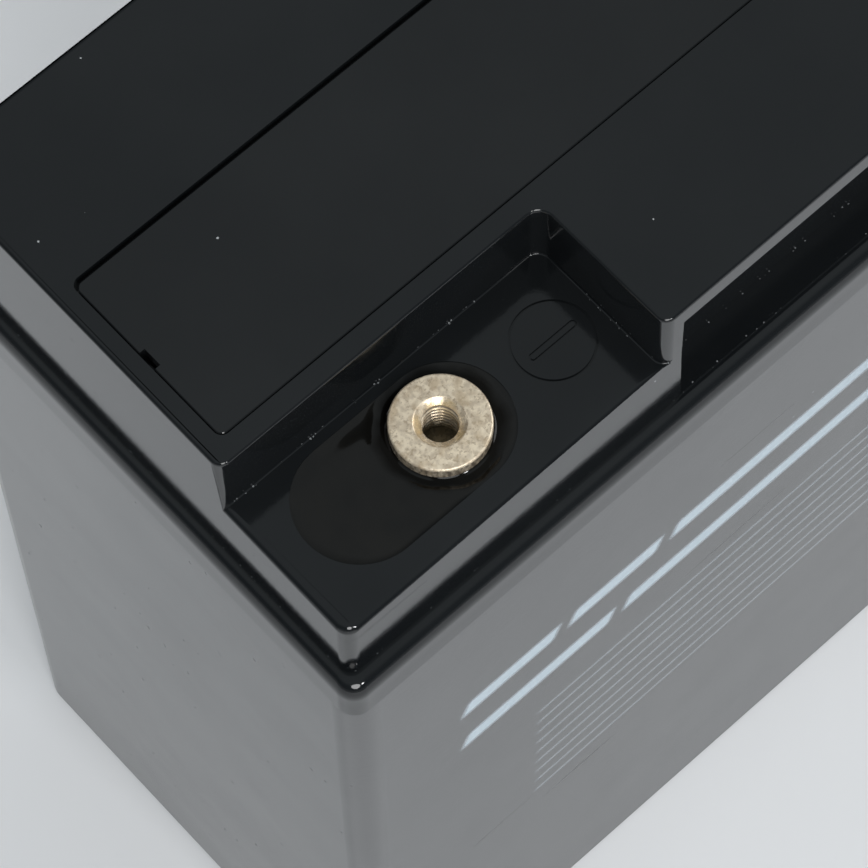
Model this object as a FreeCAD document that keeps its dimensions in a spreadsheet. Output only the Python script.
import FreeCAD, Part
import math
import os
import re
import Sketcher
from FreeCAD import Vector

# A sealed lead acid battery: a case with six cells in a row, and a lid with sunk terminal corners.
# Millimetres. X runs along the battery, Y from its front to its back, Z up, origin under its middle.

# Driving sizes: name, value, what it measures
driving_sizes = [
    ("length", 181.0, "over the lid's flange, along X"),
    ("width", 76.0, "over the lid's flange, along Y"),
    ("height", 167.0, "from the foot to the top of the lid"),
    ("flange_height", 7.2, "height of the flange round the lid"),
    ("flange_radius", 2.6, "corner radius of the flange"),
    ("flange_round", 3.2, "height of the round that forms the flange's upper edge"),
    ("ledge_drop", 11.5, "from the terminal floor down to the top of the flange"),
    ("ledge_front", 2.3, "flange's face to the block at the front and back"),
    ("ledge_side", 1.7, "flange's face to the block at the two ends"),
    ("block_draft", 1.6, "draft of the lid's raised block, degrees"),
    ("block_radius", 1.7, "corner radius of the raised block"),
    ("block_edge", 0.4, "bevel of the block's upper edges"),
    ("pocket_depth", 10.5, "from the lid's top to the terminal floor"),
    ("pocket_draft", 0.5, "draft of the walls round the terminal floor, degrees"),
    ("pocket_radius", 1.8, "radius where those two walls meet"),
    ("floor_edge", 0.6, "bevel of the terminal floor's open edges"),
    ("terminal_inset_x", 26.2, "terminal axis from the lid's end"),
    ("terminal_inset_y", 14.0, "terminal axis from the lid's front"),
    ("pocket_reach_x", 23.1, "terminal axis to the pocket's side wall"),
    ("pocket_reach_y", 8.9, "terminal axis to the pocket's back wall"),
    ("grip_post", 3.0, "wall between a terminal pocket and the finger grip"),
    ("grip_depth", 6.8, "finger grip, in from the flange's face"),
    ("grip_lip", 3.1, "lip over the finger grip"),
    ("grip_step", 0.4, "step from the flange up to the finger grip"),
    ("lid_wall", 2.2, "wall of the lid"),
    ("cover_inset", 5.0, "end of the vent cover from the lid's end"),
    ("cover_width", 24.4, "vent cover, along Y"),
    ("cover_thickness", 1.5, "vent cover"),
    ("cover_radius", 1.0, "corner radius of the vent cover"),
    ("cover_edge", 0.15, "bevel of the vent cover's upper edge"),
    ("cover_gap", 0.15, "seam at the front and the ends of the vent cover"),
    ("cover_back_gap", 0.6, "seam at the back of the vent cover"),
    ("vent_width", 2.6, "vent slot in each end of the cover, along Y"),
    ("vent_depth", 0.8, "vent slot, along X, and the depth of its channel"),
    ("trough_margin", 2.5, "seat that carries the cover's edge"),
    ("chimney_outer", 7.6, "outside diameter of a vent chimney"),
    ("chimney_bore", 4.5, "bore of a vent chimney"),
    ("chimney_height", 6.5, "height of a vent chimney"),
    ("cap_wall", 1.2, "side wall of a valve cap"),
    ("cap_top", 1.5, "top of a valve cap"),
    ("cap_skirt", 4.5, "how far a valve cap reaches down its chimney"),
    ("cap_clearance", 0.3, "valve cap's top to the cover"),
    ("pool_depth", 5.9, "resin well, below the terminal floor"),
    ("pool_radius", 7.8, "radius of the resin well's ends"),
    ("pool_reach", 0.8, "how far the well's inner arc is centred past the terminal"),
    ("pool_shift", 0.3, "well's middle line in front of the terminal's axis"),
    ("resin_drop", 0.4, "resin's surface below the terminal floor"),
    ("post_offset", 12.2, "lead post's axis from the terminal's, towards the end"),
    ("post_diameter", 6.0, "lead post"),
    ("post_clearance", 0.5, "lead post to its hole in the lid"),
    ("ring_section", 1.2, "thickness of the seal ring round a post"),
    ("terminal_diameter", 11.8, "terminal insert"),
    ("terminal_rise", 1.8, "terminal's face above the terminal floor"),
    ("terminal_edge", 0.25, "bevel round the terminal's face"),
    ("terminal_bore", 4.2, "tapped hole in the terminal, thread left out"),
    ("terminal_mouth", 6.1, "outer diameter of the countersink"),
    ("terminal_bore_depth", 6.0, "depth of the tapped hole"),
    ("bar_width", 9.0, "terminal bar"),
    ("bar_thickness", 1.2, "terminal bar"),
    ("case_inset", 1.0, "case wall in from the flange's face"),
    ("case_draft", 0.25, "draft of the case, narrower at its foot, degrees"),
    ("case_radius", 3.4, "corner radius of the case"),
    ("case_wall", 2.2, "wall of the case at its top"),
    ("case_floor", 2.5, "floor of the case"),
    ("foot_edge", 1.2, "bevel of the foot's edge"),
    ("tongue_height", 3.0, "how far the case reaches up into the lid"),
    ("tongue_step", 0.8, "shoulder outside the case's tongue"),
    ("fit_gap", 0.1, "clearance of tongue and walls in the lid's grooves"),
    ("cheek", 1.0, "lid's ribs beside the tongue and the cell walls"),
    ("partition_wall", 1.6, "walls between the cells"),
    ("rest_height", 2.0, "rests under the plates"),
    ("rest_width", 4.0, "rests under the plates"),
    ("rest_span", 40.0, "between the middles of the two rests"),
    ("plate_ratio", 1.474, "thickness of a positive plate over that of a negative one"),
    ("separator", 0.83, "thickness of a separator"),
    ("element_gap", 0.2, "plate stack to the cell's walls"),
    ("head_space", 1.5, "top of the straps' uprights to the lid's rim"),
    ("plate_gap", 0.8, "plate's edge to the case's wall"),
    ("separator_gap", 0.3, "separator's edge to the case's wall"),
    ("separator_rise", 2.5, "separator above the plates"),
    ("lug_width", 10.0, "lug on a plate"),
    ("lug_height", 6.5, "lug on a plate"),
    ("strap_width", 12.0, "lead strap on the lugs, along Y"),
    ("strap_height", 5.0, "lead strap on the lugs"),
    ("riser_thickness", 3.5, "upright of a strap, against the cell wall"),
    ("riser_height", 9.0, "upright of a strap, above the strap"),
    ("weld_diameter", 6.0, "weld through a cell wall"),
]

cell_count = 6
chimney_sides = 16
weld_sides = 8
positive_plate_count = 4
negative_plate_count = positive_plate_count + 1
separator_count = 2 * positive_plate_count
# Degrees of the flange's quarter round at which it has an outline
flange_turns = (0, 30, 60, 90)

# Places worked out from the driving sizes, each from those above it
places = {
    "half_length": "length / 2",
    "half_width": "width / 2",
    "terminal_floor": "height - pocket_depth",
    "ledge": "terminal_floor - ledge_drop",
    "rim": "ledge - flange_height",
    "tongue_top": "rim + tongue_height",
    "block_half_length": "half_length - ledge_side",
    "block_half_width": "half_width - ledge_front",
    "shoulder": "height - block_edge",
    "block_narrowing": "(shoulder - ledge) * tan(block_draft)",
    "round_foot": "ledge - flange_round",
    "top_half_length": "block_half_length - block_narrowing - block_edge",
    "terminal_x": "half_length - terminal_inset_x",
    "terminal_y": "terminal_inset_y - half_width",
    "pocket_side": "terminal_x - pocket_reach_x",
    "pocket_back": "terminal_y + pocket_reach_y",
    "pocket_widening": "(shoulder - terminal_floor) * tan(pocket_draft)",
    "post_x": "terminal_x + post_offset",
    "pool_inner_x": "terminal_x - pool_reach",
    "pool_y": "terminal_y - pool_shift",
    "pool_bottom": "terminal_floor - pool_depth",
    "bar_top": "pool_bottom + bar_thickness",
    "post_hole": "post_diameter + 2 * post_clearance",
    "ring_seat": "post_diameter + 2 * ring_section",
    "grip_half": "pocket_side - grip_post",
    "cover_half_length": "half_length - cover_inset",
    "cover_half_width": "cover_width / 2",
    "cover_bottom": "height - cover_thickness",
    "cover_seat_back": "cover_half_width + cover_back_gap",
    "cover_seat_front": "cover_half_width + cover_gap",
    "cap_face": "cover_bottom - cap_clearance",
    "trough_floor": "cap_face - cap_top - chimney_height",
    "low_ceiling": "pool_bottom - lid_wall",
    "rim_ceiling": "ledge + grip_step - lid_wall",
    "case_half_length": "half_length - case_inset",
    "case_half_width": "half_width - case_inset",
    "case_narrowing": "rim * tan(case_draft)",
    "inner_half_length": "case_half_length - case_wall",
    "inner_half_width": "case_half_width - case_wall",
    "cell_length": f"(2 * inner_half_length - {cell_count - 1} * partition_wall) / {cell_count}",
    "cell_pitch": "cell_length + partition_wall",
    "rib_half": "partition_wall / 2 + fit_gap + cheek",
    "stack_length": "cell_length - 2 * element_gap",
    "plates_length": f"stack_length - {separator_count} * separator",
    "negative_plate": f"plates_length / ({negative_plate_count} + {positive_plate_count} * plate_ratio)",
    "positive_plate": "negative_plate * plate_ratio",
    "plate_pitch": "negative_plate + positive_plate + 2 * separator",
    "plate_foot": "case_floor + rest_height",
    "plate_top": "rim - head_space - riser_height - strap_height - lug_height",
    "plate_height": "plate_top - plate_foot",
    "strap_foot": "plate_top + lug_height",
    "strap_top": "strap_foot + strap_height",
    "riser_top": "strap_top + riser_height",
    "weld_level": "(strap_top + riser_top) / 2",
    "strap_line": "half_width - terminal_inset_y",
}
quarter = math.pi / 2

doc = FreeCAD.newDocument("sealed_lead_acid_battery")
sizes = doc.addObject("Spreadsheet::Sheet", "sizes")
for row, (name, number, note) in enumerate(driving_sizes, start=1):
    sizes.set(f"A{row}", name)
    sizes.set(f"B{row}", str(number))
    sizes.set(f"C{row}", note)
    sizes.setAlias(f"B{row}", name)
doc.recompute()

driving_words = "|".join(name for name, number, note in driving_sizes)


def sized(text):
    """Spell a formula out in the sheet's own cells."""
    for name in reversed(places):
        text = re.sub(rf"\b{name}\b", f"({places[name]})", text)
    return re.sub(rf"\b({driving_words})\b", r"sizes.\1", text)


def measure(text):
    """A formula's value as the sheet stands now."""
    result = sizes.evalExpression(sized(text))
    return float(getattr(result, "Value", result))


def bind(item, place, text):
    item.setExpression(place, sized(text))


# Bodies, sketches and the features that this battery is made with

def new_body(label, x="0", y="0", z="0"):
    body = doc.addObject("PartDesign::Body", label)
    body.Label = label
    body.AllowCompound = True
    bind(body, "Placement.Base.x", x)
    bind(body, "Placement.Base.y", y)
    bind(body, "Placement.Base.z", z)
    return body


def origin_feature(body, role):
    return next(item for item in body.Origin.OriginFeatures if item.Role == role)


def new_sketch(body, name, level="0", plane="XY_Plane"):
    """A sketch parallel to one of the body's own planes, moved along its normal to level."""
    sketch = body.newObject("Sketcher::SketchObject", name)
    sketch.AttachmentSupport = [(origin_feature(body, plane), "")]
    sketch.MapMode = "FlatFace"
    bind(sketch, "AttachmentOffset.Base.z", level)
    return sketch


def distance(kind, element, point, text):
    """A distance from the origin to a point, with the formula that drives it."""
    return Sketcher.Constraint(kind, -1, 1, element, point, measure(text)), text


def round_size(element, text):
    return Sketcher.Constraint("Radius", element, measure(text)), text


def constrain(sketch, ties, dimensions):
    """Add ties between elements, and dimensions that follow their formulas."""
    first = sketch.ConstraintCount + len(ties)
    for index, (constraint, text) in enumerate(dimensions, start=first):
        constraint.Name = f"size{index}"
    sketch.addConstraint(ties + [constraint for constraint, text in dimensions])
    for constraint, text in dimensions:
        bind(sketch, f"Constraints.{constraint.Name}", text)


def draw_polygon(sketch, corners):
    """A closed outline through corners, each a pair of formulas."""
    points = [Vector(measure(x), measure(y), 0) for x, y in corners]
    first = sketch.GeometryCount
    count = len(points)
    lines = [Part.LineSegment(point, points[(index + 1) % count]) for index, point in enumerate(points)]
    sketch.addGeometry(lines)
    ties, dimensions = [], []
    for index, (x, y) in enumerate(corners):
        after = first + (index + 1) % count
        ties.append(Sketcher.Constraint("Coincident", first + index, 2, after, 1))
        dimensions.append(distance("DistanceX", first + index, 1, x))
        dimensions.append(distance("DistanceY", first + index, 1, y))
    constrain(sketch, ties, dimensions)


def draw_box(sketch, left, right, front, back):
    draw_polygon(sketch, [(left, front), (right, front), (right, back), (left, back)])


def draw_rounded_box(sketch, left, right, front, back, radius):
    """A rectangle with four equal round corners."""
    low = Vector(measure(left), measure(front), 0)
    high = Vector(measure(right), measure(back), 0)
    size = measure(radius)
    first = sketch.GeometryCount
    sides = [
        (Vector(low.x + size, low.y, 0), Vector(high.x - size, low.y, 0)),
        (Vector(high.x, low.y + size, 0), Vector(high.x, high.y - size, 0)),
        (Vector(high.x - size, high.y, 0), Vector(low.x + size, high.y, 0)),
        (Vector(low.x, high.y - size, 0), Vector(low.x, low.y + size, 0)),
    ]
    middles = [
        Vector(high.x - size, low.y + size, 0),
        Vector(high.x - size, high.y - size, 0),
        Vector(low.x + size, high.y - size, 0),
        Vector(low.x + size, low.y + size, 0),
    ]
    lines = [Part.LineSegment(start, end) for start, end in sides]
    arcs = [
        Part.ArcOfCircle(Part.Circle(middle, Vector(0, 0, 1), size), (index - 1) * quarter, index * quarter)
        for index, middle in enumerate(middles)
    ]
    sketch.addGeometry(lines + arcs)
    ties = [Sketcher.Constraint("Horizontal", first), Sketcher.Constraint("Horizontal", first + 2)]
    for index in range(4):
        arc = first + 4 + index
        after = first + (index + 1) % 4
        ties.append(Sketcher.Constraint("Tangent", first + index, 2, arc, 1))
        ties.append(Sketcher.Constraint("Tangent", arc, 2, after, 1))
        if index:
            ties.append(Sketcher.Constraint("Equal", first + 4, arc))
    constrain(sketch, ties, [
        distance("DistanceY", first, 1, front),
        distance("DistanceX", first + 1, 1, right),
        distance("DistanceY", first + 2, 1, back),
        distance("DistanceX", first + 3, 1, left),
        round_size(first + 4, radius),
    ])


def draw_circle(sketch, x, y, radius):
    middle = Vector(measure(x), measure(y), 0)
    index = sketch.addGeometry(Part.Circle(middle, Vector(0, 0, 1), measure(radius)))
    constrain(sketch, [], [
        distance("DistanceX", index, 3, x), distance("DistanceY", index, 3, y), round_size(index, radius),
    ])


def draw_flats(sketch, x, y, across, sides):
    """A regular outline about x and y, as wide as across between two flats."""
    step = 360 / sides
    radius = f"({across}) / 2 / cos({step / 2})"
    draw_polygon(sketch, [
        (f"{x} + {radius} * cos({index * step})", f"{y} + {radius} * sin({index * step})")
        for index in range(sides)
    ])


def draw_slot(sketch, left, right, y, radius):
    """Two half circles about left and right, joined by straight sides."""
    x0, x1, middle, size = measure(left), measure(right), measure(y), measure(radius)
    right_end = Part.Circle(Vector(x1, middle, 0), Vector(0, 0, 1), size)
    left_end = Part.Circle(Vector(x0, middle, 0), Vector(0, 0, 1), size)
    first = sketch.GeometryCount
    sketch.addGeometry([
        Part.LineSegment(Vector(x0, middle - size, 0), Vector(x1, middle - size, 0)),
        Part.ArcOfCircle(right_end, -quarter, quarter),
        Part.LineSegment(Vector(x1, middle + size, 0), Vector(x0, middle + size, 0)),
        Part.ArcOfCircle(left_end, quarter, 3 * quarter),
    ])
    ties = [Sketcher.Constraint("Equal", first + 1, first + 3)]
    for index in range(4):
        after = first + (index + 1) % 4
        ties.append(Sketcher.Constraint("Tangent", first + index, 2, after, 1))
    constrain(sketch, ties, [
        distance("DistanceX", first + 1, 3, right),
        distance("DistanceX", first + 3, 3, left),
        distance("DistanceY", first + 3, 3, y),
        round_size(first + 3, radius),
    ])


def add_pad(body, name, sketch, length):
    pad = body.newObject("PartDesign::Pad", name)
    pad.Profile = sketch
    bind(pad, "Length", length)
    sketch.Visibility = False
    return pad


def add_pocket(body, name, sketch, depth, upward=False):
    """Cut along the sketch's normal, against it unless upward is set."""
    pocket = body.newObject("PartDesign::Pocket", name)
    pocket.Profile = sketch
    bind(pocket, "Length", depth)
    pocket.Reversed = upward
    sketch.Visibility = False
    return pocket


def add_loft(body, kind, name, outlines):
    """A solid with straight sides from outline to outline, upwards."""
    loft = body.newObject(f"PartDesign::{kind}Loft", name)
    loft.Profile = outlines[0]
    loft.Sections = outlines[1:]
    loft.Ruled = True
    for outline in outlines:
        outline.Visibility = False
    return loft


def add_revolution(body, name, sketch):
    turned = body.newObject("PartDesign::Revolution", name)
    turned.Profile = sketch
    turned.ReferenceAxis = (sketch, ["V_Axis"])
    turned.Angle = 360
    sketch.Visibility = False
    return turned


def add_bevel(body, name, base, size, chosen):
    """Bevel those edges of base that chosen accepts by their middle and their lowest and highest levels."""
    doc.recompute()
    edges = []
    for number, edge in enumerate(base.Shape.Edges, start=1):
        box = edge.BoundBox
        if chosen(box.Center, box.ZMin, box.ZMax):
            edges.append(f"Edge{number}")
    bevel = body.newObject("PartDesign::Chamfer", name)
    bevel.Base = (base, edges)
    bind(bevel, "Size", size)
    return bevel


def add_row(body, name, features, pitch, count):
    """Repeat features along X."""
    pattern = body.newObject("PartDesign::LinearPattern", name)
    pattern.Originals = features
    pattern.Direction = (origin_feature(body, "X_Axis"), [""])
    bind(pattern, "Length", f"{count - 1} * ({pitch})")
    pattern.Occurrences = count
    body.Tip = pattern
    return pattern


def near(first, second):
    return abs(first - second) < 0.01


def end_span(end, inner, outer):
    """Left and right formulas of a stretch at the -X end or the +X end."""
    if end < 0:
        return f"-({outer})", f"-({inner})"
    return inner, outer


def cell_start(cell):
    return f"-inner_half_length + {cell - 1} * cell_pitch"


def cell_middle(cell):
    return f"{cell - (cell_count + 1) / 2} * cell_pitch"


cells = range(1, cell_count + 1)
partitions = range(1, cell_count)
ends = {"negative": -1, "positive": 1}


# Case: tapered box, tongue for the lid, six cells and the rests under the plates

def make_case():
    case = new_body("case")
    foot = new_sketch(case, "case_foot_outline")
    along, across = "(case_half_length - case_narrowing)", "(case_half_width - case_narrowing)"
    draw_rounded_box(foot, f"-{along}", along, f"-{across}", across, "case_radius")
    shell = add_pad(case, "case_shell", foot, "rim")
    bind(shell, "TaperAngle", "case_draft")
    add_bevel(case, "case_foot_edge", shell, "foot_edge", lambda middle, low, high: near(high, 0))
    outline = new_sketch(case, "case_tongue_outline", "rim")
    along, across = "(case_half_length - tongue_step)", "(case_half_width - tongue_step)"
    draw_rounded_box(outline, f"-{along}", along, f"-{across}", across, "case_radius - tongue_step")
    add_pad(case, "case_tongue", outline, "tongue_height")
    hollows = new_sketch(case, "case_cell_outlines", "tongue_top")
    for cell in cells:
        start = cell_start(cell)
        draw_box(hollows, start, f"{start} + cell_length", "-inner_half_width", "inner_half_width")
    add_pocket(case, "case_cells", hollows, "tongue_top - case_floor")
    rests = new_sketch(case, "case_rest_outlines", "case_floor")
    for side in (-1, 1):
        line = f"{side} * rest_span / 2"
        draw_box(rests, "-inner_half_length", "inner_half_length",
                 f"{line} - rest_width / 2", f"{line} + rest_width / 2")
    add_pad(case, "case_rests", rests, "rest_height")
    for wall in partitions:
        face = f"{cell_start(wall + 1)}"
        hole = new_sketch(case, f"case_weld_hole_outline_{wall}", face, "YZ_Plane")
        draw_flats(hole, f"{weld_side(wall)} * strap_line", "weld_level", "weld_diameter", weld_sides)
        add_pocket(case, f"case_weld_hole_{wall}", hole, "partition_wall")
    return case


def weld_side(wall):
    """The welds lie at the back and the front by turns."""
    return 1 if wall % 2 else -1


# Lid: one moulding with a rim flange, a raised block, two sunk corners and two finger grips

def shape_lid_outside(lid):
    flange_outline = new_sketch(lid, "flange_outline", "rim")
    draw_rounded_box(flange_outline, "-half_length", "half_length", "-half_width", "half_width",
                     "flange_radius")
    add_pad(lid, "flange", flange_outline, "round_foot - rim")
    outlines = []
    for turn in flange_turns:
        share = f"(1 - cos({turn}))"
        outline = new_sketch(lid, f"flange_round_outline_{turn}", f"round_foot + flange_round * sin({turn})")
        along = f"(half_length - ledge_side * {share})"
        across = f"(half_width - ledge_front * {share})"
        draw_rounded_box(outline, f"-{along}", along, f"-{across}", across,
                         f"flange_radius + (block_radius - flange_radius) * {share}")
        outlines.append(outline)
    add_loft(lid, "Additive", "flange_round", outlines)
    outlines = []
    for place, level, inset in (("foot", "ledge", "0"),
                                ("shoulder", "shoulder", "block_narrowing"),
                                ("top", "height", "block_narrowing + block_edge")):
        outline = new_sketch(lid, f"block_{place}_outline", level)
        along, across = f"(block_half_length - ({inset}))", f"(block_half_width - ({inset}))"
        draw_rounded_box(outline, f"-{along}", along, f"-{across}", across, "block_radius")
        outlines.append(outline)
    add_loft(lid, "Additive", "block", outlines)
    for name, end in ends.items():
        outlines = []
        for place, level, wider in (("floor", "terminal_floor", "0"),
                                    ("shoulder", "shoulder", "pocket_widening"),
                                    ("mouth", "height", "pocket_widening + block_edge")):
            outline = new_sketch(lid, f"{name}_pocket_{place}_outline", level)
            left, right = end_span(end, f"pocket_side - ({wider})", "half_length + pocket_radius")
            draw_rounded_box(outline, left, right, "-half_width - pocket_radius",
                             f"pocket_back + {wider}", "pocket_radius")
            outlines.append(outline)
        feature = add_loft(lid, "Subtractive", f"{name}_pocket", outlines)
    floor, side, back = measure("terminal_floor"), measure("pocket_side"), measure("pocket_back")
    corner = measure("pocket_radius")
    add_bevel(lid, "floor_edges", feature, "floor_edge", lambda middle, low, high:
              near(low, floor) and near(high, floor)
              and abs(middle.x) > side + corner and middle.y < back - corner)
    for name, side_of_lid in (("front", -1), ("back", 1)):
        face = "half_width" if side_of_lid < 0 else "-half_width"
        outline = new_sketch(lid, f"{name}_grip_outline", face, "XZ_Plane")
        draw_box(outline, "-grip_half", "grip_half", "ledge + grip_step", "height - grip_lip")
        add_pocket(lid, f"{name}_grip", outline, "grip_depth", upward=side_of_lid > 0)


def shape_vent_trough(lid):
    """The seat of the vent cover, the trough under it and a chimney over each cell."""
    seat = new_sketch(lid, "cover_seat_outline", "height")
    along = "(cover_half_length + cover_gap)"
    draw_rounded_box(seat, f"-{along}", along, "-cover_seat_front", "cover_seat_back",
                     "cover_radius + cover_gap")
    add_pocket(lid, "cover_seat", seat, "cover_thickness")
    trough = new_sketch(lid, "trough_outline", "cover_bottom")
    along, across = "(cover_half_length - trough_margin)", "(cover_half_width - trough_margin)"
    draw_rounded_box(trough, f"-{along}", along, f"-{across}", across, "cover_radius")
    add_pocket(lid, "trough", trough, "cover_bottom - trough_floor")
    channels = new_sketch(lid, "vent_channel_outlines", "cover_bottom")
    for end in ends.values():
        left, right = end_span(end, "cover_half_length - trough_margin - cover_radius",
                               "cover_half_length + cover_gap")
        draw_box(channels, left, right, "-vent_width / 2", "vent_width / 2")
    add_pocket(lid, "vent_channels", channels, "vent_depth")
    chimneys = new_sketch(lid, "chimney_outlines", "trough_floor")
    for cell in cells:
        draw_flats(chimneys, cell_middle(cell), "0", "chimney_outer", chimney_sides)
    add_pad(lid, "chimneys", chimneys, "chimney_height")


def hollow_lid(lid):
    """The hollows over the cells, from the flange's underside up, in four heights."""
    inner = "(inner_half_width - fit_gap - cheek)"
    back = "(half_width - grip_depth - lid_wall)"
    lowest = new_sketch(lid, "rim_hollow_outlines", "rim")
    low = new_sketch(lid, "low_hollow_outlines", "rim")
    middle = new_sketch(lid, "middle_hollow_outlines", "rim")
    tall = new_sketch(lid, "tall_hollow_outlines", "rim")
    for cell in cells:
        left = f"{cell_start(cell)} - partition_wall / 2 + rib_half"
        right = f"{cell_start(cell + 1)} - partition_wall / 2 - rib_half"
        low_left, low_right = left, right
        if cell == 1:
            low_left = "-(inner_half_length - fit_gap - cheek)"
            left = "-(top_half_length - lid_wall)"
        if cell == cell_count:
            low_right = "inner_half_length - fit_gap - cheek"
            right = "top_half_length - lid_wall"
        draw_box(lowest, low_left, low_right, f"-{inner}", inner)
        draw_box(low, low_left, low_right, f"-{back}", back)
        draw_box(middle, left, right, "pocket_back + lid_wall", back)
        draw_box(tall, left, right, "cover_seat_back + lid_wall", back)
    for cell in cells[1:-1]:
        left = f"{cell_start(cell)} - partition_wall / 2 + rib_half"
        right = f"{cell_start(cell + 1)} - partition_wall / 2 - rib_half"
        if cell == 2:
            left = "-(pocket_side - lid_wall)"
        if cell == cell_count - 1:
            right = "pocket_side - lid_wall"
        draw_box(tall, left, right, f"-{back}", "-(cover_seat_front + lid_wall)")
    add_pocket(lid, "rim_hollows", lowest, "rim_ceiling - rim", upward=True)
    add_pocket(lid, "low_hollows", low, "low_ceiling - rim", upward=True)
    add_pocket(lid, "middle_hollows", middle, "trough_floor - lid_wall - rim", upward=True)
    add_pocket(lid, "tall_hollows", tall, "height - lid_wall - rim", upward=True)


def cut_lid_grooves(lid):
    """Grooves for the case's tongue and for the walls between the cells."""
    tongue = new_sketch(lid, "tongue_groove_outline", "rim")
    along = "(case_half_length - tongue_step + fit_gap)"
    across = "(case_half_width - tongue_step + fit_gap)"
    draw_rounded_box(tongue, f"-{along}", along, f"-{across}", across,
                     "case_radius - tongue_step + fit_gap")
    along, across = "(inner_half_length - fit_gap)", "(inner_half_width - fit_gap)"
    draw_box(tongue, f"-{along}", along, f"-{across}", across)
    add_pocket(lid, "tongue_groove", tongue, "tongue_height + fit_gap", upward=True)
    walls = new_sketch(lid, "wall_groove_outlines", "rim")
    for wall in partitions:
        middle = f"{cell_start(wall + 1)} - partition_wall / 2"
        half = "(partition_wall / 2 + fit_gap)"
        draw_box(walls, f"{middle} - {half}", f"{middle} + {half}", "-inner_half_width",
                 "inner_half_width")
    add_pocket(lid, "wall_grooves", walls, "tongue_height + fit_gap", upward=True)


def cut_terminal_wells(lid):
    """Resin wells with the seats of the seal rings and the post holes, and the chimneys' bores."""
    wells = new_sketch(lid, "resin_well_outlines", "terminal_floor")
    seats = new_sketch(lid, "ring_seat_outlines", "pool_bottom")
    holes = new_sketch(lid, "post_hole_outlines", "pool_bottom")
    for end in ends.values():
        left, right = end_span(end, "pool_inner_x", "post_x")
        draw_slot(wells, left, right, "pool_y", "pool_radius")
        draw_circle(seats, f"{end} * post_x", "terminal_y", "ring_seat / 2")
        draw_circle(holes, f"{end} * post_x", "terminal_y", "post_hole / 2")
    add_pocket(lid, "resin_wells", wells, "pool_depth")
    add_pocket(lid, "ring_seats", seats, "ring_section")
    add_pocket(lid, "post_holes", holes, "lid_wall")
    bores = new_sketch(lid, "chimney_bore_outlines", "trough_floor + chimney_height")
    for cell in cells:
        draw_flats(bores, cell_middle(cell), "0", "chimney_bore", chimney_sides)
    add_pocket(lid, "chimney_bores", bores, "chimney_height + lid_wall")


def make_lid():
    lid = new_body("lid")
    shape_lid_outside(lid)
    shape_vent_trough(lid)
    hollow_lid(lid)
    cut_lid_grooves(lid)
    cut_terminal_wells(lid)
    return lid


# Vent cover: a plate let into the lid, with a slot at each end for the gas

def make_vent_cover():
    cover = new_body("vent_cover", z="cover_bottom")
    outline = new_sketch(cover, "cover_outline")
    draw_rounded_box(outline, "-cover_half_length", "cover_half_length", "-cover_half_width",
                     "cover_half_width", "cover_radius")
    plate = add_pad(cover, "cover_plate", outline, "cover_thickness")
    top = measure("cover_thickness")
    add_bevel(cover, "cover_edge", plate, "cover_edge", lambda middle, low, high: near(low, top))
    slots = new_sketch(cover, "vent_slot_outlines", "cover_thickness")
    for end in ends.values():
        left, right = end_span(end, "cover_half_length - vent_depth", "half_length")
        draw_box(slots, left, right, "-vent_width / 2", "vent_width / 2")
    add_pocket(cover, "vent_slots", slots, "cover_thickness")
    return cover


# Valve caps: rubber cups over the chimneys, as many sided as they are

def make_valve_cap(cell):
    cap = new_body(f"valve_cap_{cell}", x=cell_middle(cell), z="cap_face")
    outside = new_sketch(cap, f"valve_cap_outline_{cell}", "-cap_top - cap_skirt")
    draw_flats(outside, "0", "0", "chimney_outer + 2 * cap_wall", chimney_sides)
    add_pad(cap, f"valve_cap_cup_{cell}", outside, "cap_top + cap_skirt")
    inside = new_sketch(cap, f"valve_cap_bore_outline_{cell}", "-cap_top - cap_skirt")
    draw_flats(inside, "0", "0", "chimney_outer", chimney_sides)
    add_pocket(cap, f"valve_cap_bore_{cell}", inside, "cap_skirt", upward=True)
    return cap


# Terminals: round inserts with a blind tapped hole, soldered on the bar below

def make_terminal(name, end):
    terminal = new_body(f"{name}_terminal", f"{end} * terminal_x", "terminal_y",
                        "terminal_floor + terminal_rise")
    profile = new_sketch(terminal, f"{name}_terminal_profile", plane="XZ_Plane")
    foot = "(terminal_rise + pool_depth - bar_thickness)"
    draw_polygon(profile, [
        ("0", "-terminal_bore_depth"),
        ("0", f"-{foot}"),
        ("terminal_diameter / 2", f"-{foot}"),
        ("terminal_diameter / 2", "-terminal_edge"),
        ("terminal_diameter / 2 - terminal_edge", "0"),
        ("terminal_mouth / 2", "0"),
        ("terminal_bore / 2", "(terminal_bore - terminal_mouth) / 2"),
        ("terminal_bore / 2", "-terminal_bore_depth"),
    ])
    add_revolution(terminal, f"{name}_terminal_turned", profile)
    return terminal


def draw_bar(sketch, end):
    """The square ended bar from the terminal to the lead post."""
    left, right = end_span(end, "terminal_x - bar_width / 2", "post_x + bar_width / 2")
    draw_box(sketch, left, right, "terminal_y - bar_width / 2", "terminal_y + bar_width / 2")


def make_terminal_bar(name, end):
    bar = new_body(f"{name}_terminal_bar", z="pool_bottom")
    outline = new_sketch(bar, f"{name}_bar_outline")
    draw_bar(outline, end)
    draw_circle(outline, f"{end} * post_x", "terminal_y", "post_diameter / 2")
    add_pad(bar, f"{name}_bar_plate", outline, "bar_thickness")
    return bar


def make_seal_ring(name, end):
    ring = new_body(f"{name}_seal_ring", f"{end} * post_x", "terminal_y", "pool_bottom - ring_section")
    outline = new_sketch(ring, f"{name}_ring_outline")
    draw_circle(outline, "0", "0", "ring_seat / 2")
    draw_circle(outline, "0", "0", "post_diameter / 2")
    add_pad(ring, f"{name}_ring", outline, "ring_section")
    return ring


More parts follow.
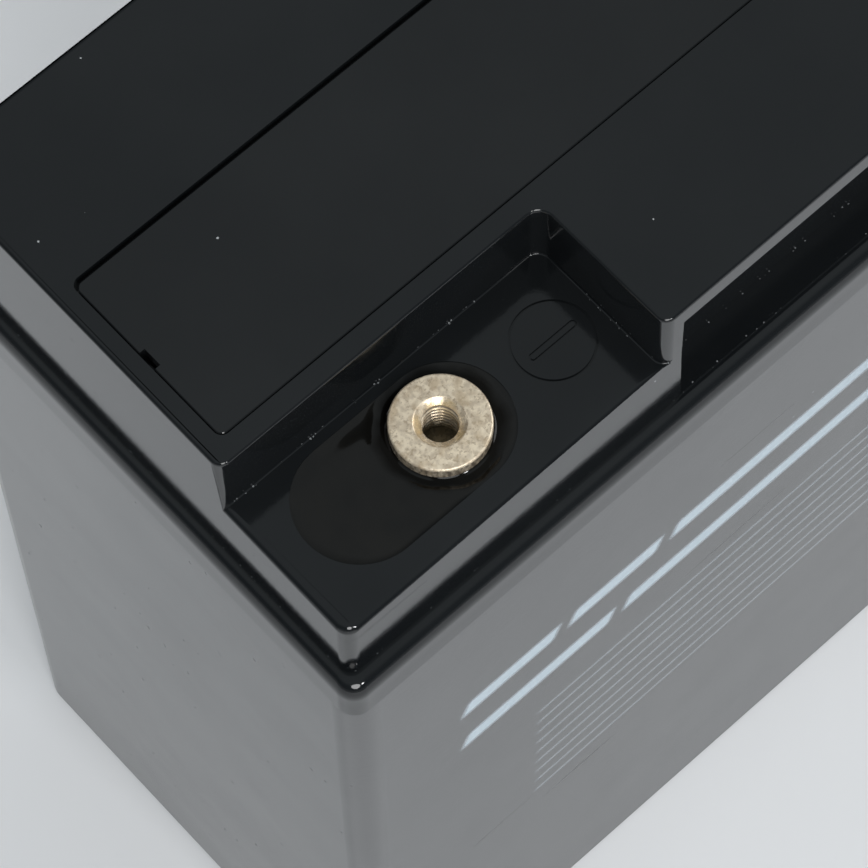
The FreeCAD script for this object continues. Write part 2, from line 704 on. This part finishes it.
def make_resin(name, end):
    """Resin cast over the bar, round the terminal."""
    resin = new_body(f"{name}_resin", z="pool_bottom")
    pool = new_sketch(resin, f"{name}_resin_outline")
    left, right = end_span(end, "pool_inner_x", "post_x")
    draw_slot(pool, left, right, "pool_y", "pool_radius")
    add_pad(resin, f"{name}_resin_pool", pool, "pool_depth - resin_drop")
    bar = new_sketch(resin, f"{name}_resin_bar_outline")
    draw_bar(bar, end)
    add_pocket(resin, f"{name}_resin_bar_space", bar, "bar_thickness", upward=True)
    insert = new_sketch(resin, f"{name}_resin_insert_outline", "bar_thickness")
    draw_circle(insert, f"{end} * terminal_x", "terminal_y", "terminal_diameter / 2")
    add_pocket(resin, f"{name}_resin_insert_space", insert, "pool_depth", upward=True)
    return resin


# Plates and separators: stacks along X, negative plates outermost

def make_plates(polarity, cell):
    """One cell's plates of one polarity, their lugs at the back or the front by turns."""
    lugs_at_back = (polarity == "positive") == (cell % 2 == 1)
    side = 1 if lugs_at_back else -1
    stack = new_body(f"{polarity}_plates_{cell}", x=cell_start(cell), z="plate_foot")
    start = "element_gap"
    count = negative_plate_count
    if polarity == "positive":
        start = "element_gap + negative_plate + separator"
        count = positive_plate_count
    outline = new_sketch(stack, f"{polarity}_plate_outline_{cell}", start, "YZ_Plane")
    edge = "(inner_half_width - plate_gap)"
    lug_front = f"{side} * strap_line - lug_width / 2"
    lug_back = f"{side} * strap_line + lug_width / 2"
    draw_polygon(outline, [
        (f"-{edge}", "0"), (edge, "0"), (edge, "plate_height"), (lug_back, "plate_height"),
        (lug_back, "plate_height + lug_height"), (lug_front, "plate_height + lug_height"),
        (lug_front, "plate_height"), (f"-{edge}", "plate_height"),
    ])
    plate = add_pad(stack, f"{polarity}_plate_{cell}", outline, f"{polarity}_plate")
    add_row(stack, f"{polarity}_plate_row_{cell}", [plate], "plate_pitch", count)
    return stack


def make_separators(cell):
    mats = new_body(f"separators_{cell}", x=cell_start(cell), z="plate_foot")
    edge = "(inner_half_width - separator_gap)"
    first = "element_gap + negative_plate"
    pads = []
    for name, start in (("left", first), ("right", f"{first} + separator + positive_plate")):
        outline = new_sketch(mats, f"{name}_separator_outline_{cell}", start, "YZ_Plane")
        draw_box(outline, f"-{edge}", edge, "0", "plate_height + separator_rise")
        pads.append(add_pad(mats, f"{name}_separator_{cell}", outline, "separator"))
    add_row(mats, f"separator_row_{cell}", pads, "plate_pitch", positive_plate_count)
    return mats


# Straps: lead cast on the lugs, with a post at the row's ends and a weld through each cell wall

def make_end_strap(name, end):
    strap = new_body(f"{name}_end_strap", z="strap_foot")
    cell = 1 if end < 0 else cell_count
    outline = new_sketch(strap, f"{name}_strap_outline")
    left = f"{cell_start(cell)} + element_gap"
    draw_box(outline, left, f"{left} + stack_length", "terminal_y - strap_width / 2",
             "terminal_y + strap_width / 2")
    add_pad(strap, f"{name}_strap_plate", outline, "strap_height")
    post = new_sketch(strap, f"{name}_post_outline", "strap_height")
    draw_circle(post, f"{end} * post_x", "terminal_y", "post_diameter / 2")
    add_pad(strap, f"{name}_post", post, "bar_top - strap_top")
    return strap


def make_intercell_connector(wall):
    """Two straps and their uprights, joined by a weld through the wall between two cells."""
    link = new_body(f"intercell_connector_{wall}", x=cell_start(wall + 1), z="strap_foot")
    line = f"{weld_side(wall)} * strap_line"
    front, back = f"{line} - strap_width / 2", f"{line} + strap_width / 2"
    reach = "(cell_length - element_gap)"
    straps = new_sketch(link, f"link_strap_outlines_{wall}")
    draw_box(straps, f"-partition_wall - {reach}", "-partition_wall", front, back)
    draw_box(straps, "0", reach, front, back)
    add_pad(link, f"link_straps_{wall}", straps, "strap_height")
    risers = new_sketch(link, f"link_riser_outlines_{wall}", "strap_height")
    draw_box(risers, "-partition_wall - riser_thickness", "-partition_wall", front, back)
    draw_box(risers, "0", "riser_thickness", front, back)
    add_pad(link, f"link_risers_{wall}", risers, "riser_height")
    weld = new_sketch(link, f"link_weld_outline_{wall}", "-partition_wall", "YZ_Plane")
    draw_flats(weld, line, "strap_height + riser_height / 2", "weld_diameter", weld_sides)
    add_pad(link, f"link_weld_{wall}", weld, "partition_wall")
    return link


nodes = [make_case(), make_lid(), make_vent_cover()]
for name, end in ends.items():
    nodes.append(make_terminal(name, end))
    nodes.append(make_terminal_bar(name, end))
    nodes.append(make_seal_ring(name, end))
    nodes.append(make_resin(name, end))
    nodes.append(make_end_strap(name, end))
for cell in cells:
    nodes.append(make_valve_cap(cell))
    nodes.append(make_plates("positive", cell))
    nodes.append(make_plates("negative", cell))
    nodes.append(make_separators(cell))
for wall in partitions:
    nodes.append(make_intercell_connector(wall))
doc.recompute()

# Nothing is written unless every object is sound and every cut has cut
for item in doc.Objects:
    if "Invalid" in item.State or "Error" in item.State:
        raise RuntimeError(f"{item.Name} failed: {item.State} {item.getStatusString()}")
    if item.TypeId in ("PartDesign::Pocket", "PartDesign::SubtractiveLoft"):
        if item.BaseFeature.Shape.Volume - item.Shape.Volume < 0.1:
            raise RuntimeError(f"{item.Name} cuts nothing")
for node in nodes:
    if node.Shape.isNull() or not node.Shape.isValid():
        raise RuntimeError(f"{node.Label} has no sound shape")

os.makedirs("parts", exist_ok=True)
for node in nodes:
    node.Shape.exportStep(f"parts/{node.Label}.step")
    print(f"{node.Label}: {len(node.Shape.Solids)} solids, {node.Shape.Volume:.1f} mm3")
print(f"{len(nodes)} nodes")
